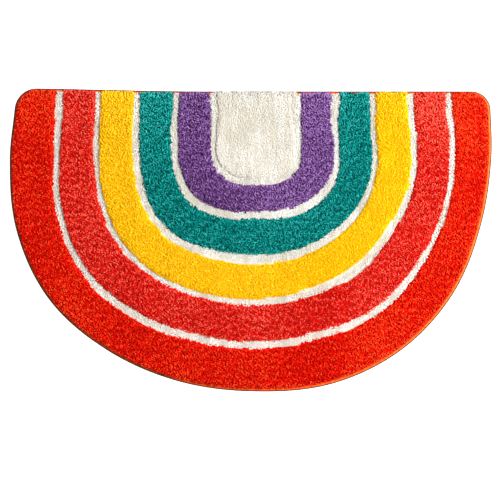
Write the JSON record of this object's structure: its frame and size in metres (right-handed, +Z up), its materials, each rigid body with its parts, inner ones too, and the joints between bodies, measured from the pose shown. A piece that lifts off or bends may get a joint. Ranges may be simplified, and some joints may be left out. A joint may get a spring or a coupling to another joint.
{
  "type": "half moon rug",
  "caption": "Half-moon tufted pile mat with arched rainbow bands parted by low cream lines, and a sewn binding round its edge.",
  "frame": {"origin": "on the floor, under the middle of the box round the rug", "axes": "+X along the straight edge, +Y towards the straight edge, +Z up through the pile"},
  "size_m": [0.8, 0.503, 0.0191],
  "materials": {
    "orange_yarn": "soft cut pile",
    "coral_yarn": "soft cut pile",
    "yellow_yarn": "soft cut pile",
    "teal_yarn": "soft cut pile",
    "purple_yarn": "soft cut pile",
    "cream_yarn": "soft cut pile",
    "backing_cloth": "close plain weave",
    "binding_yarn": "closely sewn yarn"
  },
  "bodies": {
    "root": {"tufted_rug": "orange_yarn", "edge_binding": "binding_yarn"}
  },
  "joints": []
}
